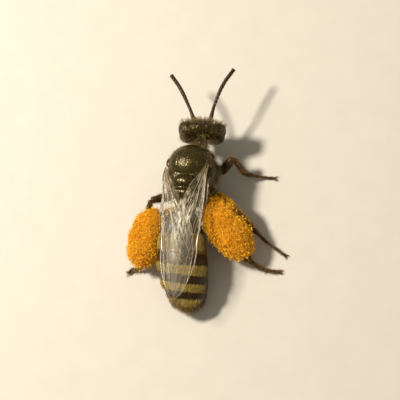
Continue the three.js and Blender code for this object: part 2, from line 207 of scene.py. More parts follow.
def mesh_of(shape, scale=1.0):
    """A mesh whose faces all point outwards."""
    points, faces = shape
    mesh = bpy.data.meshes.new("shape")
    mesh.from_pydata((points * scale).tolist(), [], faces)
    work = bmesh.new()
    work.from_mesh(mesh)
    bmesh.ops.recalc_face_normals(work, faces=work.faces)
    work.to_mesh(mesh)
    work.free()
    mesh.polygons.foreach_set("use_smooth", [True] * len(mesh.polygons))
    return mesh


def placed(name, data):
    """A new object in the scene."""
    made = bpy.data.objects.new(name, data)
    bpy.context.scene.collection.objects.link(made)
    return made


def store(mesh, label, values):
    """Keeps one number or one vector for each point under a name."""
    values = np.asarray(values, np.float32)
    kind, field = ("FLOAT_VECTOR", "vector") if values.ndim == 2 else ("FLOAT", "value")
    mesh.attributes.new(label, kind, "POINT").data.foreach_set(field, values.ravel())


def shape_of(mesh):
    places = np.empty(len(mesh.vertices) * 3)
    mesh.vertices.foreach_get("co", places)
    return places.reshape(-1, 3), [list(face.vertices) for face in mesh.polygons]


def normals_of(shape):
    mesh = mesh_of(shape)
    found = np.empty(len(mesh.vertices) * 3)
    mesh.vertices.foreach_get("normal", found)
    bpy.data.meshes.remove(mesh)
    return found.reshape(-1, 3)


def melted(shapes, cell, soften):
    """One even, smooth skin over overlapping closed shapes; cell is its mesh size."""
    work = placed("melted", mesh_of(joined(shapes)))
    even = work.modifiers.new("even mesh", "REMESH")
    even.mode = "VOXEL"
    even.voxel_size = cell
    smooth = work.modifiers.new("soften", "SMOOTH")
    smooth.factor = 0.5
    smooth.iterations = soften
    graph = bpy.context.evaluated_depsgraph_get()
    mesh = bpy.data.meshes.new_from_object(work.evaluated_get(graph))
    shape = shape_of(mesh)
    bpy.data.objects.remove(work)
    bpy.data.meshes.remove(mesh)
    return shape


def raised(shape, height):
    """Moves each point along the skin's own normal."""
    points, faces = shape
    return points + normals_of(shape) * np.asarray(height)[:, None], faces


def piece(name, shape, material, stands_for=None, numbers=None):
    """A finished piece, which replaces the node of its own name unless others are given.

    numbers holds one value for each point under an attribute's name.
    """
    mesh = mesh_of(shape, MM)
    for label, values in (numbers or {}).items():
        store(mesh, label, values)
    mesh.materials.append(material)
    made = placed(f"{name}_surface", mesh)
    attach(made, "root")
    if stands_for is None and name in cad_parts:
        stands_for = [name]
    if stands_for:
        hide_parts(*stands_for)
    return made


def ripple(points, pitch, seed):
    """Smooth uneven waves between -1 and 1 through space."""
    draw = np.random.default_rng(seed)
    total = np.zeros(len(points))
    for _ in range(6):
        wave = unit(draw.normal(size=3)) * 2 * math.pi / pitch * draw.uniform(0.6, 1.5)
        total += np.sin(points @ wave + draw.uniform(0, 2 * math.pi))
    return total / 6


# ---------------------------------------------------------------- nodes and materials
def linear(code):
    """An sRGB hex colour as linear red, green, blue and full alpha."""
    parts = [int(code[i:i + 2], 16) / 255 for i in (1, 3, 5)]
    return tuple(p / 12.92 if p <= 0.04045 else ((p + 0.055) / 1.055) ** 2.4 for p in parts) + (1.0,)


def add(tree, kind, inputs=None, **settings):
    """Adds one node. inputs gives each socket a value or another node's output socket."""
    made = tree.nodes.new(kind)
    for label, value in settings.items():
        setattr(made, label, value)
    for key, value in (inputs or {}).items():
        if isinstance(value, bpy.types.NodeSocket):
            tree.links.new(value, made.inputs[key])
        else:
            made.inputs[key].default_value = value
    return made


def maths(tree, operation, *values):
    """One sum over numbers or other nodes' results."""
    return add(tree, "ShaderNodeMath", dict(enumerate(values)), operation=operation).outputs[0]


def noise(tree, place, scale, detail=2.0):
    """Cloudy noise with this many lumps to a millimetre."""
    return add(tree, "ShaderNodeTexNoise", {"Vector": place, "Scale": scale, "Detail": detail}).outputs["Fac"]


def cells(tree, place, width):
    """How far the nearest cell's middle is, in cells of this width in millimetres."""
    return add(tree, "ShaderNodeTexVoronoi", {"Vector": place, "Scale": 1 / width}).outputs["Distance"]


def stored(tree, label):
    """A number stored on the mesh."""
    return add(tree, "ShaderNodeAttribute", attribute_name=label).outputs["Fac"]


def stretched(tree, place, scale):
    return add(tree, "ShaderNodeMapping", {"Vector": place, "Scale": scale}).outputs[0]


def blend(tree, share, start, end):
    """A colour between two, each a hex code or a node's output."""
    start, end = (linear(colour) if isinstance(colour, str) else colour for colour in (start, end))
    return add(tree, "ShaderNodeMix", {"Factor": share, 6: start, 7: end}, data_type="RGBA").outputs[2]


def start_material(name, **surface):
    """A material with its shader's own values set, and object places in millimetres."""
    material = bpy.data.materials.new(name)
    material.use_nodes = True
    tree = material.node_tree
    shader = tree.nodes["Principled BSDF"]
    for label, value in surface.items():
        shader.inputs[label.replace("_", " ")].default_value = value
    metres = add(tree, "ShaderNodeTexCoord").outputs["Object"]
    return material, tree, stretched(tree, metres, (1 / MM,) * 3)


def finished(material, tone, relief=None, strength=0.0, depth=0.0):
    """Gives the shader its colour and its relief, whose depth is in millimetres."""
    tree = material.node_tree
    shader = tree.nodes["Principled BSDF"]
    tree.links.new(tone, shader.inputs["Base Color"])
    if relief is not None:
        bump = add(tree, "ShaderNodeBump", {"Height": relief, "Strength": strength, "Distance": depth * MM})
        tree.links.new(bump.outputs[0], shader.inputs["Normal"])
    return material


def cuticle(name, dark, light, pit, pit_depth, roughness, metal=0.0, stretch=(1, 1, 1), edge=None):
    """Insect shell: two mottled tones over fine pits of the given spacing in millimetres."""
    material, tree, place = start_material(
        name, Roughness=roughness, Metallic=metal, Specular_IOR_Level=0.5, Specular_Tint=linear("#eee2bb"),
        Coat_Weight=0.06, Coat_Roughness=0.2)
    tone = blend(tree, noise(tree, place, 3.5, 5.0), dark, light)
    if edge:
        tone = blend(tree, stored(tree, "rim"), tone, edge)
    drawn = stretched(tree, place, stretch)
    relief = maths(tree, "ADD", cells(tree, drawn, pit), noise(tree, drawn, 0.6 / pit, 4.0))
    return finished(material, tone, relief, 0.7, pit_depth)


def hair(name, root, tip, roughness=0.55):
    """Fine insect hair: darker at the root, paler at the tip, each hair a little different."""
    material, tree, _ = start_material(
        name, Roughness=roughness, Specular_IOR_Level=0.35, Sheen_Weight=0.3, Sheen_Roughness=0.4)
    share = maths(tree, "ADD", stored(tree, "along"), stored(tree, "tint"))
    return finished(material, blend(tree, maths(tree, "MULTIPLY", share, 0.5), root, tip))


# Thick insect cuticle with a weak bronze metal lustre: dark olive, pitted, with sharp glints.
BRONZE = cuticle("Cuticle, bronze and pitted", "#1a1506", "#463d1a", 0.08, 0.018, 0.25, metal=0.25)
# The same cuticle behind the wings, pitted more coarsely.
COARSE = cuticle("Cuticle, bronze and coarsely pitted", "#181203", "#3d320f", 0.1, 0.018, 0.24, metal=0.25)
# The head's cuticle: closely and deeply pitted, so that it sparkles.
FACE = cuticle("Cuticle, bronze and closely pitted", "#1d1604", "#473a13", 0.08, 0.03, 0.24, metal=0.25)
# Thin overlapping plates of the abdomen: black-brown, polished, see-through brown at the rim.
PLATE = cuticle("Cuticle, black-brown and polished", "#170c02", "#2e1b05", 0.03, 0.004, 0.36,
                stretch=(0.6, 1.4, 1), edge="#6a4712")
# Limb cuticle: red-brown and satin.
LIMB = cuticle("Cuticle, red-brown and satin", "#1d0e04", "#432308", 0.04, 0.006, 0.36)
# Feelers: dull red-brown with a fine felt that takes the shine off.
FEELER = cuticle("Cuticle, dull red-brown", "#24130a", "#402413", 0.025, 0.005, 0.5)
# Mandibles and tongue sheath: hard amber-red cuticle.
MOUTH = cuticle("Cuticle, amber-red", "#2a1409", "#5a2c12", 0.05, 0.005, 0.28)
# Tegula: thin shell over air, amber at its edge; drawn as one dark amber mottle all over.
AMBER = cuticle("Cuticle, amber shell", "#251507", "#4c3014", 0.05, 0.004, 0.3)

HEAD_HAIR = hair("Hair, cream-brown", "#54400f", "#c8b071")
BODY_HAIR = hair("Hair, pale straw", "#6a5116", "#d2ba78")
FELT = hair("Hair, golden cream felt", "#8f7722", "#dec362", 0.75)
DARK_HAIR = hair("Hair, brown", "#3a2206", "#9c6c1e")
LEG_HAIR = hair("Hair, golden brown", "#4a2b06", "#c0902e")


def eye_material():
    """Compound eye: smooth lacquer-like cornea over hundreds of tiny six-sided lenses.

    Real lenses are 0.02 mm wide; they are drawn at 0.04 mm so that they show.
    """
    material, tree, place = start_material(
        "Cornea, dark brown lenses", Roughness=0.36, Specular_IOR_Level=0.35, Coat_Weight=0.08,
        Coat_Roughness=0.25)
    tone = blend(tree, noise(tree, place, 2.0), "#191102", "#3f2f04")
    dome = maths(tree, "SUBTRACT", 1.0, cells(tree, place, 0.04))
    return finished(material, tone, dome, 0.6, 0.006)


def ocellus_material():
    """Simple eye: a clear glassy bead over a dark cup."""
    material, tree, place = start_material(
        "Cornea, glassy bead", Roughness=0.06, Specular_IOR_Level=0.8, Coat_Weight=1.0, Coat_Roughness=0.03)
    return finished(material, blend(tree, noise(tree, place, 6.0), "#1a0d05", "#5a3413"))


def wing_material():
    """Wing membrane: clear dry film, smoky; where it is crumpled it has deeper crinkles and a painted pale
    sheen with more cover, standing in for glints.

    The fine hairs of a real wing, 0.03 mm apart, are drawn as a stipple of twice that pitch.
    """
    material, tree, place = start_material(
        "Wing film, smoky and clear, with painted sheen", Roughness=0.28, Specular_IOR_Level=0.6, Coat_Weight=0.2,
        Coat_Roughness=0.15)
    crumple_and_painted_sheen = stored(tree, "crumple_and_painted_sheen")
    crinkle = noise(tree, stretched(tree, place, (1.6, 0.5, 1)), 6.0, 3.0)
    patch = add(tree, "ShaderNodeMapRange", {"Value": crinkle, "From Min": 0.36, "From Max": 0.58}).outputs[0]
    # painted sheen: where the film is crumpled, a pale tone and more cover stand in for glints
    painted_sheen = maths(tree, "MULTIPLY", patch, crumple_and_painted_sheen)
    tone = blend(tree, noise(tree, place, 1.6, 3.0), "#8c8362", "#b3a986")
    tone = blend(tree, painted_sheen, tone, "#f4ecd2")
    cover = maths(tree, "MULTIPLY_ADD", painted_sheen, 0.44, 0.032)
    tree.links.new(cover, tree.nodes["Principled BSDF"].inputs["Alpha"])
    waves = maths(tree, "MULTIPLY", crinkle, maths(tree, "MULTIPLY_ADD", crumple_and_painted_sheen, 3.0, 0.5))
    relief = maths(tree, "MULTIPLY_ADD", cells(tree, place, 0.06), 0.6, waves)
    return finished(material, tone, relief, 0.5, 0.012)


def vein_material():
    """Wing vein: hollow brown cuticle rib with a satin gloss."""
    material, tree, place = start_material(
        "Wing vein, brown rib", Roughness=0.3, Specular_IOR_Level=0.8, Coat_Weight=0.4, Coat_Roughness=0.15)
    return finished(material, blend(tree, noise(tree, place, 4.0, 3.0), "#5f4a2e", "#9b8257"))


def pollen_material():
    """Sunflower pollen: dry, matt orange-yellow grains, each a little different."""
    material, tree, place = start_material(
        "Pollen, orange and dry", Roughness=0.8, Specular_IOR_Level=0.25, Subsurface_Weight=0.1,
        Subsurface_Scale=0.05 * MM)
    share = maths(tree, "MULTIPLY_ADD", stored(tree, "tint"), 0.5, noise(tree, place, 1.6, 3.0))
    spread = add(tree, "ShaderNodeMapRange", {"Value": share, "From Min": 0.2, "From Max": 1.05}).outputs[0]
    return finished(material, blend(tree, spread, "#e79708", "#ffc832"), cells(tree, place, 0.05), 0.4, 0.01)


EYE = eye_material()
OCELLUS = ocellus_material()
WING = wing_material()
VEIN = vein_material()
POLLEN = pollen_material()


# ---------------------------------------------------------------- hairs and grains over a skin
TINT_SEED = 77  # gives each hair its own tint


def named(tree, label, kind="FLOAT"):
    return add(tree, "GeometryNodeInputNamedAttribute", {"Name": label}, data_type=kind).outputs[0]


def scaled(tree, vector, scale):
    return add(tree, "ShaderNodeVectorMath", {0: vector, "Scale": scale}, operation="SCALE").outputs[0]


def summed(tree, first, second):
    return add(tree, "ShaderNodeVectorMath", {0: first, 1: second}, operation="ADD").outputs[0]


def chosen(tree, least, most, seed):
    """A random number for each point."""
    return add(tree, "FunctionNodeRandomValue", {2: least, 3: most, "Seed": seed},
               data_type="FLOAT").outputs[1]


def scatter_tree():
    """Geometry Nodes that strew small shapes over a skin, along the lie stored on it."""
    tree = bpy.data.node_groups.new("strewn over a skin", "GeometryNodeTree")
    kinds = {
        "Skin": "NodeSocketGeometry", "Shape": "NodeSocketObject", "Count per m2": "NodeSocketFloat",
        "Length": "NodeSocketFloat", "Unevenness": "NodeSocketFloat", "Lean": "NodeSocketFloat",
        "Scatter": "NodeSocketFloat", "Lift": "NodeSocketFloat", "Seed": "NodeSocketInt",
        "Finish": "NodeSocketMaterial",
    }
    for label, kind in kinds.items():
        tree.interface.new_socket(label, in_out="INPUT", socket_type=kind)
    tree.interface.new_socket("Coat", in_out="OUTPUT", socket_type="NodeSocketGeometry")
    given = add(tree, "NodeGroupInput").outputs
    lie = named(tree, "lie", "FLOAT_VECTOR")
    density = maths(tree, "MULTIPLY", given["Count per m2"], named(tree, "thick"))
    spots = add(tree, "GeometryNodeDistributePointsOnFaces",
                {"Mesh": given["Skin"], "Density": density, "Seed": given["Seed"]})
    # each hair stands on the normal, leans along the lie and strays a little
    out = scaled(tree, spots.outputs["Normal"], maths(tree, "COSINE", given["Lean"]))
    back = scaled(tree, lie, maths(tree, "SINE", given["Lean"]))
    stray = add(tree, "FunctionNodeRandomValue", {0: (-1, -1, -1), 1: (1, 1, 1), "Seed": given["Seed"]},
                data_type="FLOAT_VECTOR").outputs[0]
    way = summed(tree, summed(tree, out, back), scaled(tree, stray, given["Scatter"]))
    stood = add(tree, "FunctionNodeAlignRotationToVector", {"Vector": way}, axis="Z").outputs[0]
    turned = add(tree, "FunctionNodeAlignRotationToVector", {"Rotation": stood, "Vector": lie},
                 axis="X", pivot_axis="Z").outputs[0]
    least = maths(tree, "SUBTRACT", 1.0, given["Unevenness"])
    most = maths(tree, "ADD", 1.0, given["Unevenness"])
    length = maths(tree, "MULTIPLY", given["Length"], chosen(tree, least, most, given["Seed"]))
    length = maths(tree, "MULTIPLY", length, named(tree, "tall"))
    chance = chosen(tree, 0.0, 1.0, TINT_SEED)
    risen = scaled(tree, spots.outputs["Normal"], maths(tree, "MULTIPLY", given["Lift"], chance))
    tinted = add(tree, "GeometryNodeStoreNamedAttribute",
                 {"Geometry": spots.outputs["Points"], "Name": "tint", "Value": chance},
                 data_type="FLOAT", domain="POINT").outputs[0]
    lifted = add(tree, "GeometryNodeSetPosition", {"Geometry": tinted, "Offset": risen}).outputs[0]
    shape = add(tree, "GeometryNodeObjectInfo",
                {"Object": given["Shape"], "As Instance": True}).outputs["Geometry"]
    strewn = add(tree, "GeometryNodeInstanceOnPoints",
                 {"Points": lifted, "Instance": shape, "Rotation": turned, "Scale": length}).outputs[0]
    real = add(tree, "GeometryNodeRealizeInstances", {"Geometry": strewn}).outputs[0]
    # each hair is a small patch at its root's place on the unwrapped skin
    spot = summed(tree, named(tree, "unwrap", "FLOAT_VECTOR"), named(tree, "patch", "FLOAT_VECTOR"))
    mapped = add(tree, "GeometryNodeStoreNamedAttribute", {"Geometry": real, "Name": "OFBake", "Value": spot},
                 data_type="FLOAT2", domain="CORNER").outputs[0]
    done = add(tree, "GeometryNodeSetMaterial", {"Geometry": mapped, "Material": given["Finish"]}).outputs[0]
    add(tree, "NodeGroupOutput", {"Coat": done})
    return tree


STREWN = scatter_tree()
PATCH = 0.003  # how wide one hair's patch of the unwrap is


def strand(slender, bend, levels=4, sides=3):
    """A hair of unit length: slender is its root's width over its length, bend its tip's reach sideways."""
    rings, along = [], []
    for level in range(levels):
        share = level / levels
        radius = slender / 2 * (1 - share ** 2 * 0.8)
        turn = np.linspace(0, 2 * math.pi, sides, endpoint=False)
        middle = np.array([bend * share ** 2, 0, share])
        rings.append(middle + radius * np.stack([np.cos(turn), np.sin(turn), 0 * turn], -1))
        along += [share] * sides
    tip = np.array([bend, 0, 1.0])
    return lofted(rings, (np.zeros(3), tip)), np.array([*along, 0.0, 1.0])


def seed_shape(name, shape, along):
    """The small shape that a coat repeats, with its share along its length and its patch."""
    mesh = mesh_of(shape)
    points = np.array([vertex.co for vertex in mesh.vertices])
    store(mesh, "along", along)
    store(mesh, "patch", PATCH * np.column_stack([np.sign(points[:, 0]) * 0.25, along - 0.5, 0 * along]))
    return placed(name, mesh)


def grain():
    """A pollen grain of unit width, as plain as its size of 0.04 mm allows."""
    work = bmesh.new()
    bmesh.ops.create_uvsphere(work, u_segments=4, v_segments=2, radius=0.5)
    mesh = bpy.data.meshes.new("grain")
    work.to_mesh(mesh)
    work.free()
    shape = shape_of(mesh)
    return seed_shape("grain", shape, shape[0][:, 2] + 0.5)


STRANDS = {
    "fine": seed_shape("fine hair", *strand(0.055, 0.25)),
    "long": seed_shape("long hair", *strand(0.04, 0.35, 5)),
    "felt": seed_shape("felt hair", *strand(0.11, 0.2, 3)),
    "stiff": seed_shape("stiff hair", *strand(0.07, 0.12, 3)),
    "grain": grain(),
}


def unwrap(points, tile, tiles):
    """Flattens a rounded skin about its middle, like a map seen from its top, into one tile of a square."""
    low, high = points.min(0), points.max(0)
    way = unit((points - (low + high) / 2) / np.maximum(high - low, 1e-6))
    reach = np.arccos(np.clip(way[:, 2], -1, 1)) / math.pi * 0.48
    turn = np.arctan2(way[:, 1], way[:, 0])
    rows = math.ceil(math.sqrt(tiles))
    corner = np.array([tile % rows, tile // rows]) / rows
    flat = corner + (0.5 + reach[:, None] * np.column_stack([np.cos(turn), np.sin(turn)])) / rows
    return np.column_stack([flat, 0 * reach])


def coat(name, skins, strand_kind, finish, per_mm2, length, lean, stray=0.15, uneven=0.3, lift=0.0, seed=1):
    """Hair over skins: each skin is (shape, how thick 0..1, lie, how tall)."""
    shape = joined([skin[0] for skin in skins])
    mesh = mesh_of(shape, MM)
    flat = np.vstack([unwrap(skin[0][0], i, len(skins)) for i, skin in enumerate(skins)])
    thick = np.concatenate([skin[1] for skin in skins])
    lie = unit(np.vstack([skin[2] for skin in skins]))
    tall = np.concatenate([skin[3] if len(skin) > 3 else np.ones(len(skin[1])) for skin in skins])
    for label, numbers in (("thick", thick), ("tall", tall), ("lie", lie), ("unwrap", flat)):
        store(mesh, label, numbers)
    skin = placed("skin", mesh)
    grow = skin.modifiers.new("coat", "NODES")
    grow.node_group = STREWN
    values = {
        "Shape": STRANDS[strand_kind], "Count per m2": per_mm2 / MM ** 2, "Length": length * MM,
        "Unevenness": uneven, "Lean": math.radians(lean), "Scatter": stray, "Lift": lift * MM,
        "Seed": seed, "Finish": finish,
    }
    for item in STREWN.interface.items_tree:
        if item.name in values:
            grow[item.identifier] = values[item.name]
    graph = bpy.context.evaluated_depsgraph_get()
    grown = bpy.data.meshes.new_from_object(skin.evaluated_get(graph))
    bpy.data.objects.remove(skin)
    places = np.empty(len(grown.vertices) * 3, np.float32)
    grown.vertices.foreach_get("co", places)
    places[2::3] = np.maximum(places[2::3], 0.0)  # tips that meet the floor lie on it
    grown.vertices.foreach_set("co", places)
    for label in ("thick", "tall", "lie", "unwrap", "patch"):
        if label in grown.attributes:
            grown.attributes.remove(grown.attributes[label])
    made = placed(name, grown)
    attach(made, "root")
    return made


def bell(values, middle, width):
    """1 at the middle, falling smoothly to nothing at about twice the width."""
    return np.exp(-((np.asarray(values) - middle) / width) ** 2)


def ramp(values, start, end):
    """0 before start, 1 after end, smooth between."""
    share = np.clip((np.asarray(values) - start) / (end - start), 0, 1)
    return share * share * (3 - 2 * share)


# ---------------------------------------------------------------- thorax
THORAX = BodyFrame({
    "tegula_left": (-1.12, 0.48, 0.48), "tegula_right": (1.12, 0.48, 0.48), "scutellum": (0, -0.62, 0.6),
})
in_thorax = THORAX.ball


def backwards(points, body, outward=0.5):
    """The lie of body hair: towards the tail and a little away from the middle line."""
    own = body.own(points)
    out = own * (1, 0, 1)
    return unit(-body.axes[1] + outward * unit(out) @ body.axes)


def make_thorax():
    dome = in_thorax((-0.03, 0.53, 0.36), (1.14, 0.98, 0.76), sides=72, rows=48)
    flanks = in_thorax((0, 0.12, -0.12), (1.3, 1.16, 0.93), power=2.5, sides=72, rows=48)
    shell = melted([dome, flanks], 0.026, 3)
    own = THORAX.own(shell[0])
    top = ramp(own[:, 2], 0.35, 0.6)
    middle_line = bell(own[:, 0], 0, 0.022) * ramp(own[:, 1], 0.1, 0.4) * top
    side_lines = bell(np.abs(own[:, 0]), 0.52, 0.022) * bell(own[:, 1], 0.3, 0.38) * top
    rim = bell(np.hypot(own[:, 0] / 1.02, (own[:, 1] - 0.42) / 0.9), 1.0, 0.035) * ramp(own[:, 2], 0.3, 0.5)
    shell = raised(shell, -0.016 * middle_line - 0.013 * side_lines - 0.012 * rim)
    piece("scutum", shell, BRONZE)

    collar = melted([
        in_thorax((0, 1.12, -0.1), (0.9, 0.42, 0.72), power=2.3),
        *[in_thorax((side * 0.88, 0.98, 0.2), (0.2, 0.24, 0.2)) for side in (-1, 1)],
    ], 0.03, 4)
    piece("pronotum", collar, BRONZE)

    plate = melted([in_thorax((-0.02, -0.6, 0.6), (0.66, 0.4, 0.35))], 0.022, 2)
    plate_own = THORAX.own(plate[0])
    plate = raised(plate, -0.012 * bell(plate_own[:, 0], 0, 0.03) * ramp(plate_own[:, 2], 0.6, 0.8))
    piece("scutellum", plate, COARSE)

    bar = melted([in_thorax((-0.02, -0.98, 0.43), (0.7, 0.2, 0.34))], 0.025, 2)
    piece("metanotum", bar, COARSE)

    rear = melted([in_thorax((0, -0.98, -0.1), (1.0, 0.62, 0.76), power=2.3)], 0.03, 3)
    rear_own = THORAX.own(rear[0])
    ridges = np.sin(np.arctan2(rear_own[:, 0], 0.5 - rear_own[:, 1]) * 46)
    rear = raised(rear, 0.008 * ridges * bell(rear_own[:, 2], 0.5, 0.2))
    piece("propodeum", rear, COARSE)

    for name, side in SIDES.items():
        cap = in_thorax((side * 1.1, 0.46, 0.46), (0.2, 0.27, 0.12), power=2.2, sides=40, rows=24)
        piece(f"tegula_{name}", cap, AMBER)

    link = limb(spine_of("neck", middle_of("head"), 4), lambda t: 0.3, cap=0.1)
    piece("neck", link, LIMB)
    stalk = limb(spine_of("waist", middle_of("propodeum"), 4), lambda t: 0.26 + 0.05 * t, cap=0.1)
    piece("waist", stalk, PLATE)

    # hairs: short and thin on the back, long and dense along the sides and collar
    flank = ramp(-own[:, 2], -0.35, 0.1) * (1 - 0.5 * ramp(-own[:, 2], 0.5, 0.9))
    lie = backwards(shell[0], THORAX, 0.7)
    coat("hair_thorax_sides", [(shell, flank, lie)], "long", BODY_HAIR, 120, 0.3, 52, 0.25, 0.35, seed=11)
    back = ramp(own[:, 2], 0.1, 0.5)
    edge = 0.15 + 0.85 * ramp(np.hypot(own[:, 0] / 1.1, (own[:, 1] - 0.42) / 0.98), 0.75, 0.98)
    coat("hair_scutum", [(shell, back * edge, lie)], "fine", BODY_HAIR, 150, 0.13, 58, 0.3, 0.4, seed=12)
    collar_own = THORAX.own(collar[0])
    collar_lie = backwards(collar[0], THORAX, 1.2)
    coat("hair_collar", [(collar, 0.3 + 0.7 * ramp(collar_own[:, 2], 0.1, 0.4), collar_lie),
                         (link, np.ones(len(link[0])), backwards(link[0], THORAX, 1.2))],
         "long", BODY_HAIR, 520, 0.22, 34, 0.35, 0.3, seed=13)
    plates = []
    for part in (plate, bar, rear):
        height = THORAX.own(part[0])[:, 2]
        plates.append((part, 0.35 + 0.65 * ramp(-height, -0.6, -0.2), backwards(part[0], THORAX, 1.0)))
    coat("hair_rear_plates", plates, "fine", BODY_HAIR, 110, 0.13, 55, 0.3, 0.4, seed=14)
    whole = joined([shell, plate, bar, rear])
    return BVHTree.FromPolygons(whole[0].tolist(), whole[1])


# ---------------------------------------------------------------- head
EYE_PLACE = (0.88, 0.03, 0.04)
HEAD = BodyFrame({
    "eye_left": EYE_PLACE * np.array([-1, 1, 1]), "eye_right": EYE_PLACE, "clypeus": (0, 0.28, -0.62),
})
in_head = HEAD.ball


def make_head():
    shell = melted([
        in_head((0, -0.02, 0), (1.1, 0.42, 0.94), power=2.4, sides=64, rows=44),
        in_head((0, 0.16, 0.1), (0.74, 0.33, 0.72), power=2.2, sides=56, rows=40),
        in_head((0, 0.36, -0.22), (0.24, 0.14, 0.34)),
        *[in_head((side * 0.6, -0.16, 0.02), (0.55, 0.32, 0.82), power=2.3) for side in (-1, 1)],
        *[in_head((side * 0.74, -0.02, 0.36), (0.38, 0.39, 0.46), power=2.3) for side in (-1, 1)],
        *[in_head((side * 0.3, 0.42, 0.0), (0.13, 0.08, 0.13)) for side in (-1, 1)],
    ], 0.024, 4)
    own = HEAD.own(shell[0])
    face_line = bell(own[:, 0], 0, 0.02) * ramp(own[:, 2], 0.05, 0.3) * ramp(own[:, 1], 0.05, 0.25)
    sockets = bell(np.hypot(np.abs(own[:, 0]) - 0.3, own[:, 2]), 0.17, 0.03) * ramp(own[:, 1], 0.22, 0.38)
    notch = bell(own[:, 0], 0, 0.17) * bell(own[:, 2], 0.15, 0.6) * ramp(-own[:, 1], 0.15, 0.4)
    shell = raised(shell, 0.01 * face_line - 0.03 * sockets - 0.1 * notch)
    piece("head", shell, FACE)

    shield = melted([in_head((0, 0.26, -0.62), (0.47, 0.27, 0.34), power=2.5)], 0.022, 2)
    piece("clypeus", shield, FACE)

    for name, side in SIDES.items():
        lens = in_head(EYE_PLACE * np.array([side, 1, 1]), (0.31, 0.385, 0.69), power=2.1, sides=72, rows=52,
                       lean=(0, side * 7, side * -8))
        piece(f"eye_{name}", lens, EYE)
        jaw_path = HEAD.place([(side * x, y, z) for x, y, z in
                               ((0.5, 0.02, -0.76), (0.46, 0.3, -0.95), (0.22, 0.44, -1.03),
                                 (-0.02, 0.48, -1.07))])
        jaw = limb(jaw_path, lambda t: 0.15 - 0.09 * t, flat=0.75, cap=0.1)
        piece(f"mandible_{name}", jaw, MOUTH)

    tongue = [limb(HEAD.place([(side * 0.07, 0.14, -0.85), (side * 0.09, 0.1, -1.1),
                               (side * 0.03, -0.14, -1.3)]),
                   lambda t: 0.1 - 0.04 * t, flat=0.7) for side in (-1, 1)]
    lip = in_head((0, 0.4, -0.93), (0.2, 0.08, 0.1))
    piece("mouthparts", joined([*tongue, lip]), MOUTH)

    # three simple eyes in a low triangle on the crown
    skin = BVHTree.FromPolygons(shell[0].tolist(), shell[1])
    beads = []
    for x, y in ((0, 0.12), (-0.2, -0.05), (0.2, -0.05)):
        start = HEAD.place([(x, y, 2.0)])[0]
        spot = skin.ray_cast(Vector(start), Vector(-HEAD.axes[2]))[0]
        beads.append(ball(np.array(spot), (0.075, 0.075, 0.065), sides=24, rows=14))
    piece("ocelli", joined(beads), OCELLUS)

    out = unit(own * (1, 0, 0)) @ HEAD.axes
    near_eye = np.hypot(np.abs(own[:, 0]) - 0.88, (own[:, 2] - 0.04) / 1.8)
    face_lie = unit(0.9 * HEAD.axes[2] + 0.5 * HEAD.axes[1] + 0.4 * out)
    face = ramp(own[:, 1], 0.06, 0.26) * (1 - 0.9 * bell(near_eye, 0, 0.2))
    coat("hair_face", [(shell, face, face_lie)], "fine", HEAD_HAIR, 300, 0.23, 38, 0.4, 0.4, seed=21)
    crown_lie = unit(HEAD.axes[2] - 0.4 * HEAD.axes[1] + 0.4 * out)
    crown = ramp(own[:, 2], 0.3, 0.8) * (1 - ramp(own[:, 1], 0.1, 0.32)) * (1 - bell(near_eye, 0, 0.22))
    coat("hair_crown", [(shell, crown, crown_lie)], "fine", HEAD_HAIR, 130, 0.12, 62, 0.4, 0.4, seed=24)
    # a streak of pale hair on the crown's left side only: partly real pale hair, partly a painted glint on
    # the side facing the key light
    pale_hair_and_painted_glint = bell(own[:, 0], -0.42, 0.28) * bell(own[:, 1], -0.02, 0.11) * ramp(own[:, 2], 0.5, 0.8)
    coat("hair_crown_left", [(shell, pale_hair_and_painted_glint, crown_lie)], "fine", BODY_HAIR, 420, 0.13, 66, 0.3, 0.3, seed=25)
    behind_lie = unit(HEAD.axes[2] - 0.8 * HEAD.axes[1] + 0.3 * out)
    cheeks = 0.12 * ramp(-own[:, 1], 0.15, 0.35) * ramp(-own[:, 2], -0.5, 0.0)
    nape = ramp(-own[:, 1], 0.28, 0.42) * bell(own[:, 0], 0, 0.2)
    coat("hair_behind_head", [(shell, cheeks + nape, behind_lie)], "long", FELT, 520, 0.22, 38, 0.3, 0.3,
         seed=22)
    shield_lie = np.tile(-HEAD.axes[2], (len(shield[0]), 1))
    coat("hair_clypeus", [(shield, np.ones(len(shield[0])), shield_lie)], "fine", HEAD_HAIR,
         120, 0.16, 50, 0.3, seed=23)


# ---------------------------------------------------------------- feelers
def make_feelers():
    for name, side in SIDES.items():
        stem = spine_of(f"scape_{name}", middle_of("head"), 4)
        stem[0] = HEAD.place([(side * 0.3, 0.39, 0.0)])[0]
        whip = spine_of(f"flagellum_{name}", stem[-1], 7)
        elbow = whip[0]
        stem = np.vstack([stem[:-1], [elbow]])
        whip[0] = elbow - 0.03 * unit(whip[1] - elbow)
        scape = limb(stem, lambda t: 0.085 + 0.025 * math.sin(math.pi * min(t * 1.3, 1)), cap=0.05)
        knob = ball(stem[0], (0.11, 0.11, 0.11), sides=20, rows=12)
        piece(f"scape_{name}", joined([scape, knob]), FEELER)
        # a short first joint, then ten of one length, each a little wider at its far end
        joints = np.concatenate([[0, 0.075], np.linspace(0.075, 1, 11)[1:]])
        rings = []
        for start, end in zip(joints[:-1], joints[1:]):
            line = smooth_line(whip, np.linspace(start, end - 0.004, 5))
            wide = 0.085 + 0.02 * min(start * 3, 1)
            rings.append(limb(line, lambda t, wide=wide: wide * (0.9 + 0.12 * t), sides=14, steps=12,
                              cap=0.1))
        piece(f"flagellum_{name}", joined(rings), FEELER)


# ---------------------------------------------------------------- abdomen
RINGS = [f"abdomen_{number}" for number in range(1, 7)]
# how far each ring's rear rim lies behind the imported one, and further on the back and the right side
RIM_BACK = (0.19, 0.21, 0.18, 0.09, -0.03)
RIM_TILT = (0.31, 0.31, 0.26, 0.28, 0.18)
RIM_SKEW = (0.17, 0.22, 0.155, 0.1, 0.03)


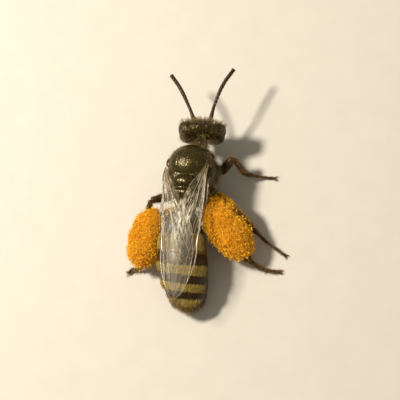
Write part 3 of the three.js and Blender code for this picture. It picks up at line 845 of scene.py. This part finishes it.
class AbdomenForm:
    """The abdomen's smooth outline, read from cuts across its packed rings."""

    def __init__(self, cuts=70):
        front, rear = box_of(RINGS[0])[1][1], box_of(RINGS[-1])[0][1]
        self.y = np.linspace(front - 0.03, rear + 0.02, cuts)
        rows = []
        for y in self.y:
            section = cut_through(RINGS, np.array([0, y, 0]), np.array([0, 1.0, 0]))
            low, high = section.min(0), section.max(0)
            rows.append([(low[0] + high[0]) / 2, (high[0] - low[0]) / 2, low[2], high[2]])
        self.table = np.array(rows)
        for _ in range(24):
            inner = (self.table[:-2] + 2 * self.table[1:-1] + self.table[2:]) / 4
            self.table[1:-1] = inner
        self.front, self.rear = front, rear
        box = [box_of(ring) for ring in RINGS]
        self.rims = [(box[i][0][1] + box[i + 1][1][1]) / 2 - RIM_BACK[i] for i in range(len(RINGS) - 1)]

    def at(self, y):
        """Middle x, half width, underside and top at y."""
        return [np.interp(-np.asarray(y), -self.y, column) for column in self.table.T]

    def rim(self, number, turn):
        """Where a ring's rear rim lies; turn is 0 at the right side and a quarter turn on top."""
        if number < 0:
            return np.full(len(turn), self.front)
        if number >= len(self.rims):
            return np.full(len(turn), self.rear)
        back = RIM_TILT[number] * np.sin(turn) + RIM_SKEW[number] * np.cos(turn)
        return np.maximum(self.rims[number] - back, self.rear + 0.04)

    def skin(self, y, turn, sunk=0.0):
        """Points on the outline, or sunk below it."""
        middle, half, low, high = self.at(y)
        centre = low + 0.46 * (high - low)
        tall = np.where(np.sin(turn) > 0, high - centre, centre - low)
        return np.stack([middle + np.cos(turn) * (half - sunk), y,
                         centre + np.sin(turn) * (tall - sunk)], axis=-1)


ABDOMEN = AbdomenForm()


def make_abdomen():
    sides = 96
    turn = np.linspace(0, 2 * math.pi, sides, endpoint=False)
    skins = []
    for i, node in enumerate(RINGS):
        start, end = ABDOMEN.rim(i - 1, turn), ABDOMEN.rim(i, turn)
        if i > 0:
            start = np.minimum(start + TUCKED, start * 0 + ABDOMEN.front)
        shares = np.concatenate([np.linspace(0, 0.9, 30), np.linspace(0.91, 1, 10)])
        rows, rim, share_of = [], [], []
        for share in shares:
            sunk = 0.0 if i == 0 else 0.05 * (1 - share) ** 1.5
            sunk += 0.016 * float(ramp(share, 0.74, 0.8)) + 0.012 * float(ramp(share, 0.97, 1.0))
            rows.append(ABDOMEN.skin(start + (end - start) * share, turn, sunk))
            rim += [float(ramp(share, 0.9, 1.0))] * sides
            share_of += [share] * sides
        if i < len(RINGS) - 1:  # the rim turns under, over the next ring
            for back, sunk in ((0.015, 0.05), (0.05, 0.09)):
                rows.append(ABDOMEN.skin(end + back, turn, sunk))
                rim += [0.0] * sides
                share_of += [2.0] * sides
        shape = lofted(np.array(rows))
        rim += [0.0, 0.0]
        share_of += [2.0, 2.0]
        points = shape[0]
        if i == 4:  # the furrow that names the bee
            middle = ABDOMEN.at(points[:, 1])[0]
            furrow = bell(points[:, 0] - middle, 0, 0.05) * ramp(points[:, 2], 1.0, 1.3)
            shape = raised(shape, -0.05 * furrow)
        piece(node, shape, PLATE, numbers={"rim": rim})
        skins.append((shape, np.array(share_of)))

    # felt bands on the first four rings, dark hair on the last two, sparse hair elsewhere
    for i in range(4):
        shape, share = skins[i]
        band = ramp(share, 0.58, 0.64) * (share <= 0.9)
        above = ramp(shape[0][:, 2], *BAND_HEIGHT[i])
        middle = ABDOMEN.at(shape[0][:, 1])[0]
        gap = 1 - BAND_GAP[i] * bell(shape[0][:, 0] - middle, 0, 0.28)
        gap *= 1 - BAND_FADE[i] * ramp(middle - shape[0][:, 0], -0.1, 0.3)
        lie = backwards(shape[0], THORAX, 0.1)
        coat(f"felt_band_{i + 1}", [(shape, band * above * gap, lie)], "felt", FELT, 1500, 0.16, 72, 0.16,
             0.3, seed=31 + i)
    sparse = []
    for i in range(1, 5):
        shape, share = skins[i]
        lie = backwards(shape[0], THORAX, 0.15)
        sparse.append((shape, (share < 0.56) * 0.8 + 0.0, lie))
    coat("hair_abdomen", sparse, "fine", DARK_HAIR, 60, 0.14, 62, 0.2, 0.3, seed=41)
    rear = []
    for i in (4, 5):
        shape, share = skins[i]
        rear.append((shape, (share <= 1.0) * 1.0, backwards(shape[0], THORAX, 0.3)))
    coat("hair_tail", rear, "fine", LEG_HAIR, 260, 0.17, 66, 0.2, 0.3, seed=42)
    under = []
    for i in range(1, 4):
        shape, share = skins[i]
        _, _, low, high = ABDOMEN.at(shape[0][:, 1])
        below = ramp(-(shape[0][:, 2] - low) / (high - low), -0.3, -0.12)
        under.append((shape, below * (share <= 1.0), backwards(shape[0], THORAX, 0.2)))
    coat("hair_underside", under, "long", BODY_HAIR, 160, 0.26, 45, 0.25, 0.3, seed=43)


TUCKED = 0.2  # how far a ring runs in under the one before it
BAND_HEIGHT = ((1.5, 1.9), (1.3, 1.7), (1.2, 1.5), (1.0, 1.3))  # bands end this high above the floor
BAND_GAP = (0.75, 0.0, 0.0, 0.0)  # how far the first band is broken in the middle
BAND_FADE = (0.0, 0.0, 0.0, 0.8)  # how far the last band is rubbed off on its left


# ---------------------------------------------------------------- wings
FOREWING = {
    "width": 1.85,
    "leading": ((0, 0), (0.03, 0.1), (0.04, 0.25), (0.03, 0.42), (0.04, 0.58), (0.035, 0.72), (-0.03, 0.81),
                (-0.12, 0.885), (-0.23, 0.95), (-0.38, 1.0)),
    "trailing": ((0, 0), (-0.08, 0.05), (-0.25, 0.14), (-0.45, 0.24), (-0.66, 0.33), (-0.8, 0.44),
                 (-0.88, 0.56), (-0.89, 0.68), (-0.72, 0.9), (-0.38, 1.0)),
    "veins": (
        ((0.0, 0.02), (0.02, 0.12), (0.03, 0.3), (0.02, 0.5), (0.02, 0.6), 0.045),
        ((-0.03, 0.05), (-0.02, 0.15), (-0.005, 0.3), (0.0, 0.48), 0.03),
        ((0.02, 0.6), (0.02, 0.72), (-0.04, 0.81), (-0.12, 0.88), 0.03),
        ((0.02, 0.6), (-0.04, 0.64), (-0.07, 0.72), (-0.09, 0.81), (-0.12, 0.88), 0.022),
        ((0.01, 0.45), (-0.03, 0.415), (-0.1, 0.38), (-0.18, 0.35), 0.026),
        ((-0.01, 0.05), (-0.1, 0.18), (-0.18, 0.35), 0.032),
        ((-0.18, 0.35), (-0.3, 0.42), (-0.4, 0.52), (-0.5, 0.66), 0.022),
        ((-0.03, 0.415), (-0.09, 0.5), (-0.14, 0.6), (-0.2, 0.72), (-0.26, 0.84), 0.022),
        ((-0.03, 0.63), (-0.15, 0.62), 0.018),
        ((-0.07, 0.71), (-0.19, 0.7), 0.018),
        ((-0.09, 0.8), (-0.24, 0.79), 0.018),
        ((-0.17, 0.66), (-0.3, 0.6), (-0.42, 0.55), 0.02),
        ((-0.22, 0.755), (-0.38, 0.72), (-0.5, 0.66), 0.018),
        ((-0.03, 0.03), (-0.18, 0.17), (-0.36, 0.32), (-0.56, 0.42), (-0.7, 0.47), 0.028),
        ((-0.16, 0.3), (-0.32, 0.29), 0.02),
    ),
    "stigma": ((0.01, 0.5), (0.01, 0.56), (0.0, 0.63), 0.065),
}
HINDWING = {
    "width": 1.15,
    "leading": ((0, 0), (0.1, 0.2), (0.09, 0.4), (0.08, 0.6), (-0.12, 0.92), (-0.4, 1.0)),
    "trailing": ((0, 0), (-0.3, 0.02), (-0.6, 0.2), (-0.84, 0.4), (-0.9, 0.55), (-0.78, 0.86), (-0.4, 1.0)),
    "veins": (
        ((0.0, 0.03), (0.07, 0.2), (0.06, 0.45), (0.02, 0.68), 0.03),
        ((-0.05, 0.05), (-0.15, 0.3), (-0.22, 0.5), (-0.3, 0.75), 0.022),
        ((-0.12, 0.06), (-0.4, 0.3), (-0.6, 0.5), 0.02),
        ((0.05, 0.42), (-0.18, 0.42), 0.018),
    ),
    "stigma": None,
}
WINGS = {
    # hinge is measured from the tegula's middle, and aim, where the wing's axis ends,
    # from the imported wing's end
    "hindwing_left": dict(form=HINDWING, side=-1, hinge=(-0.02, -0.6), aim=(-0.3, 0.0), layer=-0.12),
    "hindwing_right": dict(form=HINDWING, side=1, hinge=(-0.05, -0.6), aim=(0.1, 0.0), layer=-0.07),
    "forewing_left": dict(form=FOREWING, side=-1, hinge=(-0.18, -0.16), aim=(-0.56, 0.0), layer=0.0),
    "forewing_right": dict(form=FOREWING, side=1, hinge=(-0.1, 0.06), aim=(0.63, 0.0), layer=0.05),
}
WING_FILM = 0.012  # thickness of the film
WING_SUNK = 0.17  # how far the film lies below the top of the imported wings
WING_REST = 0.03  # how far the film clears the thorax where it would cut in


def wing_top(node):
    """Height of a packed wing's upper face as a straight line over y."""
    cloud = triangles_of(node).reshape(-1, 3)
    marks = np.linspace(cloud[:, 1].min() + 0.4, cloud[:, 1].max() - 1.2, 6)
    tops = [cut_through([node], np.array([0, y, 0]), np.array([0, 1.0, 0]))[:, 2].max() for y in marks]
    return np.polyfit(marks, tops, 1)


def rear_end(node):
    cloud = triangles_of(node).reshape(-1, 3)
    far = cloud[:, 1] < cloud[:, 1].min() + 0.05
    return cloud[far].mean(0)


class Wing:
    """Where one wing's film lies: its hinge, its axis, its two edges and its folds."""

    def __init__(self, node, body):
        settings = WINGS[node]
        self.form, self.side, self.layer = settings["form"], settings["side"], settings["layer"]
        self.body = body
        name = "left" if self.side < 0 else "right"
        tegula = middle_of(f"tegula_{name}")
        self.hinge = tegula[:2] + settings["hinge"]
        self.root_height = tegula[2]
        aim = rear_end(node)[:2] + settings["aim"]
        self.top = wing_top(f"forewing_{name}")
        width = self.form["width"]
        self.length = float(np.linalg.norm(aim - self.hinge))
        self.back = (aim - self.hinge) / self.length
        self.out = np.array([-self.back[1], self.back[0]]) * self.side
        even = np.linspace(0, 1, 120)
        self.leading = smooth_line(np.array(self.form["leading"]) * (width, self.length), even)
        self.trailing = smooth_line(np.array(self.form["trailing"]) * (width, self.length), even)

    def place(self, flat):
        """Points in the bee's frame from (across, along) in millimetres on the wing."""
        flat = np.asarray(flat, float)
        across, along = flat[:, 0], flat[:, 1]
        ground = self.hinge + across[:, None] * self.out + along[:, None] * self.back
        fore = np.interp(along, self.leading[:, 1], self.leading[:, 0])
        hind = np.interp(along, self.trailing[:, 1], self.trailing[:, 0])
        share = np.clip((fore - across) / np.maximum(fore - hind, 0.05), 0, 1)
        span = along / self.length
        folds = (0.03 * np.sin(2 * math.pi * 3.2 * share + 0.6) * ramp(span, 0.05, 0.2)
                 * (1 - 0.97 * ramp(span, 0.3, 0.5)))
        folds += 0.0015 * np.sin(2 * math.pi * (5 * share + 3 * span)) * ramp(span, 0.3, 0.6)
        level = np.polyval(self.top, ground[:, 1]) - WING_SUNK
        height = self.root_height + (level - self.root_height) * ramp(span, -0.02, 0.1)
        height -= 0.12 * (1 - share) ** 3 * ramp(span, 0.1, 0.3)  # the leading edge bends down
        height += folds
        for k, (x, y) in enumerate(ground):  # the film rests on the thorax
            hit = self.body.ray_cast(Vector((x, y, 10)), Vector((0, 0, -1)))[0]
            if hit is not None:
                height[k] = max(height[k], hit[2] + WING_REST)
        return np.column_stack([ground, height + self.layer])


def crumpling_and_painted_sheen(share, span):
    """How crumpled the film is, which also sets its painted sheen: at its folded base and where the wings
    cross, in streaks, with a painted glint along the front edge.
    """
    crossing = ramp(share, 0.3, 0.6) * bell(span, 0.41, 0.17)
    # a painted glint along the front edge
    edge = 0.8 * (1 - ramp(share, 0.08, 0.14)) * bell(span, 0.36, 0.08)
    base = 0.7 * bell(span, 0.16, 0.13) + 0 * share
    # streaks along the folds, in both the relief and the painted sheen
    streaks = 0.5 + 0.5 * np.sin(2 * math.pi * (9 * share + 0.5 * math.sin(9 * span)))
    return np.maximum(np.maximum(crossing, base) * (0.45 + 0.55 * streaks ** 2), edge)


def make_wings(body):
    for node in WINGS:
        wing = Wing(node, body)
        width = wing.form["width"]
        rows, crumple_and_painted_sheen = [], []
        across = np.linspace(0, 1, 60)[:, None]
        for k in range(1, 119):
            line = wing.leading[k] * (1 - across) + wing.trailing[k] * across
            top = wing.place(line)
            rows.append(np.vstack([top + WING_FILM / 2 * UP, top[::-1] - WING_FILM / 2 * UP]))
            # how crumpled each point is, which also sets where the pale sheen is painted
            painted_sheen_row = crumpling_and_painted_sheen(across[:, 0], k / 119) if "forewing" in node else 0 * across[:, 0]
            crumple_and_painted_sheen += [*painted_sheen_row, *painted_sheen_row[::-1]]
        piece(f"{node}_film", lofted(rows), WING, [node], {"crumple_and_painted_sheen": [*crumple_and_painted_sheen, 0, 0]})
        ribs = []
        for *path, radius in wing.form["veins"]:
            line = wing.place(smooth_line(np.array(path) * (width, wing.length), np.linspace(0, 1, 24)))
            ribs.append(limb(line, lambda t, r=radius: 0.72 * r * (1.1 - 0.35 * t), sides=8, steps=26,
                             flat=0.7, cap=0.02))
        outline = np.vstack([wing.leading[2:], wing.trailing[-2:1:-1]])
        ribs.append(limb(wing.place(outline)[::3], lambda t: 0.01, sides=6, steps=120, cap=0))
        if wing.form["stigma"]:
            *path, radius = wing.form["stigma"]
            line = wing.place(smooth_line(np.array(path) * (width, wing.length), np.linspace(0, 1, 12)))
            ribs.append(limb(line, lambda t, r=radius: r * math.sin(math.pi * (0.1 + 0.85 * t)), flat=0.4,
                             cap=0.02))
        piece(f"{node}_veins", joined(ribs), VEIN)


# ---------------------------------------------------------------- legs
LEG_SIZES = {  # half widths: hip, thigh, shin at the knee, shin at the ankle, foot
    "fore": (0.27, 0.2, 0.12, 0.16, 0.085),
    "mid": (0.27, 0.2, 0.12, 0.17, 0.085),
    "hind": (0.28, 0.22, 0.13, 0.22, 0.11),
}
CLAW = 0.2  # a claw's length
# pollen grains on each mm2 of thigh
DUSTED = {("mid", "right"): 560, ("hind", "right"): 320, ("hind", "left"): 260}


def leg_lines(pair, name):
    """Hip, thigh, shin and foot centre lines, each starting where the last one ends."""
    hip = spine_of(f"coxa_{pair}_{name}", THORAX.place([(0, 0, 0)])[0], 4)
    thigh = spine_of(f"femur_{pair}_{name}", hip[0], 4)
    shin = spine_of(f"tibia_{pair}_{name}", thigh[-1], 4)
    foot = spine_of(f"tarsus_{pair}_{name}", shin[-1], 5)
    hip[-1] = thigh[0]
    shin[0] = thigh[-1]
    foot[0] = shin[-1]
    return hip, thigh, shin, foot


def along_limb(shape, line):
    way = unit(line[-1] - line[0])
    return np.tile(way, (len(shape[0]), 1))


def make_leg(pair, name):
    hip, thigh, shin, foot = leg_lines(pair, name)
    hip_r, thigh_r, knee_r, ankle_r, foot_r = LEG_SIZES[pair]
    parts = {
        "coxa": limb(hip, lambda t: hip_r * (1 - 0.3 * t), cap=0.25),
        "femur": limb(thigh, lambda t: thigh_r * (0.62 + 0.5 * math.sin(math.pi * min(0.9, 0.2 + t * 0.75))),
                      cap=0.06),
        "tibia": limb(shin, lambda t: knee_r + (ankle_r - knee_r) * t ** 0.8, cap=0.05),
    }
    # five foot joints: one long, three short, and one with the claws, coming down to the floor
    drop = foot[-1][2] - foot_r * 0.7
    shares = np.linspace(0, 1, len(foot))
    foot = foot - UP * (drop * shares ** 1.5)[:, None]
    marks = (0, 0.48, 0.62, 0.74, 0.84, 1.0)
    joints = []
    for k in range(5):
        line = smooth_line(foot, np.linspace(marks[k], min(marks[k + 1] + 0.02, 1), 5))
        start, end = (foot_r, foot_r * 0.95) if k == 0 else (foot_r * 0.55, foot_r * 0.8)
        joints.append(limb(line, lambda t, a=start, b=end: a + (b - a) * t, sides=12, steps=12, cap=0.06))
    ahead = unit((foot[-1] - foot[-2]) * (1, 1, 0))
    across = np.cross(ahead, UP)
    for side in (-1, 1):
        root = foot[-1] - 0.02 * ahead + side * 0.03 * across
        hook = [root, root + CLAW * (0.5 * ahead + 0.25 * side * across + 0.1 * UP),
                root + CLAW * (0.95 * ahead + 0.4 * side * across - 0.05 * UP)]
        joints.append(limb(hook, lambda t: 0.028 * (1 - 0.8 * t), sides=8, steps=12, cap=0.05))
    parts["tarsus"] = joined(joints)
    # spurs at the end of the shin
    spurs = []
    for side in (-1, 1):
        root = shin[-1]
        way = unit(foot[1] - foot[0])
        lateral = unit(np.cross(way, UP))
        spurs.append(limb([root + 0.08 * side * lateral, root + 0.2 * way + 0.11 * side * lateral,
                           root + 0.36 * way + 0.1 * side * lateral],
                          lambda t: 0.026 * (1 - 0.75 * t), sides=8, steps=10, cap=0.05))
    parts["tibia"] = joined([parts["tibia"], *spurs])
    for label, shape in parts.items():
        piece(f"{label}_{pair}_{name}", shape, LIMB)
    seed = 50 + LEG_PAIRS.index(pair) * 2 + (name == "left")
    skins = [(parts[label], np.full(len(parts[label][0]), full), along_limb(parts[label], line))
             for label, line, full in (("coxa", hip, 0.8), ("femur", thigh, 0.7), ("tibia", shin, 1.0),
                                       ("tarsus", foot, 1.0))]
    coat(f"hair_leg_{pair}_{name}", skins, "stiff", LEG_HAIR, 260, 0.15, 52, 0.3, 0.4, seed=seed)
    if (pair, name) in DUSTED:  # thick on the thigh, thin on the shin
        dusty = [(shape, full * np.ones(len(thick)), lie)
                 for (shape, thick, lie), full in zip(skins[1:3], (1.0, 0.3))]
        dust = coat(f"pollen_dust_{pair}_{name}", dusty, "grain", POLLEN, DUSTED[pair, name], 0.05, 0,
                    0.5, 0.35, 0.05, seed=seed + 10)
    return shin


# ---------------------------------------------------------------- pollen
def make_pollen(name, shin):
    triangles = triangles_of(f"pollen_{name}")
    corners, index = np.unique(triangles.reshape(-1, 3).round(4), axis=0, return_inverse=True)
    faces = index.reshape(-1, 3).tolist()
    core = melted([(corners, faces)], 0.045, 14)
    lumps = 0.07 * ripple(core[0], 0.9, 5) + 0.05 * ripple(core[0], 0.28, 6)
    core = raised(core, lumps - 0.02)
    core[0][:, 2] = np.maximum(core[0][:, 2], 0.0)
    piece(f"pollen_{name}", core, POLLEN)
    skin = [(core, np.ones(len(core[0])), along_limb(core, shin))]
    # a close cover of fine grains, then a few larger crumbs that stand out
    for kind, per_mm2, width, uneven, lift, seed in (
            ("grains", 1120, 0.045, 0.4, 0.16, 70), ("crumbs", 60, 0.07, 0.5, 0.26, 76)):
        grains = coat(f"pollen_{kind}_{name}", skin, "grain", POLLEN, per_mm2, width, 0, 0.5, uneven, lift,
                      seed=seed + SIDES[name])
    coat(f"hair_pollen_{name}", skin, "long", BODY_HAIR, 16, 0.3, 40, 0.3, 0.35, seed=80 + SIDES[name])


# ---------------------------------------------------------------- floor, light and camera
VIEW_AZIMUTH = 44.1  # degrees, round from behind the bee towards its right
VIEW_ELEVATION = 62.6  # degrees above level
VIEW_ROLL = 3.0  # degrees
FIELD = 20.0  # mm across the picture
LENS = 200.0  # mm
SENSOR = 36.0  # mm


def camera_axes():
    turn, tilt = math.radians(VIEW_AZIMUTH), math.radians(VIEW_ELEVATION)
    back = np.array([math.sin(turn) * math.cos(tilt), -math.cos(turn) * math.cos(tilt), math.sin(tilt)])
    right = unit(np.array([back[2], 0, -back[0]]))
    above = np.cross(back, right)
    roll = math.radians(VIEW_ROLL)
    return (math.cos(roll) * right + math.sin(roll) * above,
            math.cos(roll) * above - math.sin(roll) * right, back)


def make_stage():
    """A plain pale floor, for the render only."""
    floor = bpy.data.meshes.new("floor")
    reach = 1.5  # metres
    floor.from_pydata([(-reach, -reach, 0), (reach, -reach, 0), (reach, reach, 0), (-reach, reach, 0)], [],
                      [(0, 1, 2, 3)])
    material, tree, place = start_material("Matt card, pale", Roughness=0.9)
    tone = blend(tree, noise(tree, place, 0.8, 6.0), "#d0cdc6", "#d9d6cf")
    floor.materials.append(finished(material, tone))
    placed("floor", floor)


def aim(thing, place, target, roll_up=None):
    back = unit(place - target)
    right = unit(np.cross(roll_up if roll_up is not None else UP, back))
    above = np.cross(back, right)
    matrix = Matrix([[right[i], above[i], back[i], place[i] * MM] for i in range(3)] + [[0, 0, 0, 1]])
    thing.matrix_world = matrix


def softbox(name, way, distance, size, power, colour):
    light = bpy.data.lights.new(name, "AREA")
    light.shape = "DISK"
    light.size = size * MM
    light.energy = power
    light.color = linear(colour)[:3]
    made = placed(name, light)
    target = middle_of("scutum")
    aim(made, target + unit(way) * distance, target)


def make_light_and_camera():
    right, above, back = camera_axes()
    world = bpy.data.worlds.new("room")
    bpy.context.scene.world = world
    world.use_nodes = True
    world.node_tree.nodes["Background"].inputs["Color"].default_value = linear("#f3ead6")
    world.node_tree.nodes["Background"].inputs["Strength"].default_value = 0.32
    softbox("key softbox", -0.75 * right + 0.37 * above + 0.55 * back, 90, 16, 0.11, "#fff4e2")
    softbox("fill softbox", 0.9 * right - 0.3 * above + 0.6 * back, 110, 90, 0.012, "#f2efe6")

    camera = bpy.data.cameras.new("camera")
    camera.lens, camera.sensor_width = LENS, SENSOR
    camera.clip_start, camera.clip_end = 0.001, 10
    made = placed("camera", camera)
    target = middle_of("scutum") + AIM_RIGHT * right + AIM_ABOVE * above
    distance = FIELD * LENS / SENSOR
    aim(made, target + back * distance, target, above)
    bpy.context.scene.camera = made
    bpy.context.scene.view_settings.view_transform = "Standard"


AIM_RIGHT = 0.397  # mm from the scutum's middle to the picture's middle
AIM_ABOVE = -1.317

THORAX_SKIN = make_thorax()
make_head()
make_feelers()
make_abdomen()
make_wings(THORAX_SKIN)
for leg_pair in LEG_PAIRS:
    for side_name in SIDES:
        leg_shin = make_leg(leg_pair, side_name)
        if leg_pair == "hind":
            make_pollen(side_name, leg_shin)
for shape in STRANDS.values():
    bpy.data.objects.remove(shape)
make_stage()
make_light_and_camera()
